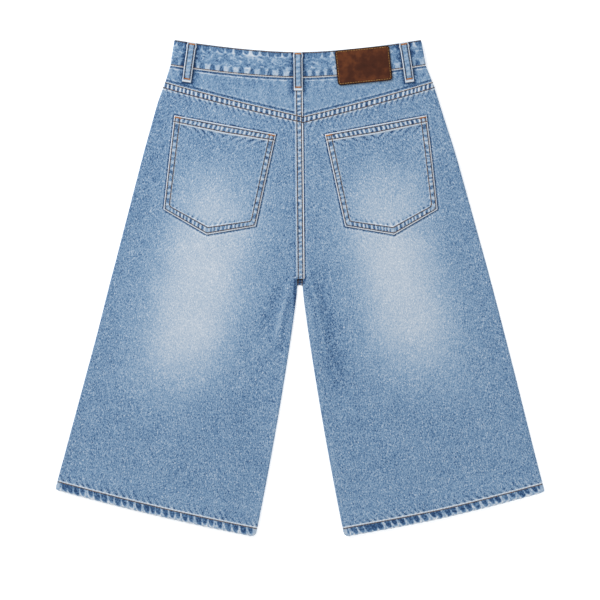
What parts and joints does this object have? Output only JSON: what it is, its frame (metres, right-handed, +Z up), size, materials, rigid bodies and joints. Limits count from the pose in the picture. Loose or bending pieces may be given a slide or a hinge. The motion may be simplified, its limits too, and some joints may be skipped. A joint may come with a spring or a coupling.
{
  "type": "denim shorts",
  "caption": "Long, wide-legged denim shorts laid flat with the seat side up: yoke, patch pockets, belt loops, waistband and a plain leather patch.",
  "frame": {"origin": "on the surface that the shorts lie on, under the middle of their outline", "axes": "+Z up from the surface, +Y from the hems to the waist, +X to the wearer's right, with the seat side up"},
  "size_m": [0.757, 0.7694, 0.0121],
  "materials": {
    "denim": "washed mid-blue cotton twill, faded on the thighs and pockets, matt",
    "leather": "dark brown leather with a burnished edge, low sheen",
    "button_metal": "aged copper-coloured metal",
    "thread": "brown and orange cotton-wrapped sewing thread"
  },
  "bodies": {
    "root": {"back_left": "denim", "back_right": "denim", "yoke_left": "denim", "yoke_right": "denim", "waistband": "denim", "back_pocket_left": "denim", "back_pocket_right": "denim", "loop_back_centre": "denim", "loop_back_left": "denim", "loop_back_right": "denim", "loop_front_left": "denim", "loop_front_right": "denim", "patch": "leather", "front_left": "denim", "front_right": "denim", "pocket_facing_left": "denim", "pocket_facing_right": "denim", "fly": "denim", "waist_button": "button_metal"}
  },
  "joints": []
}
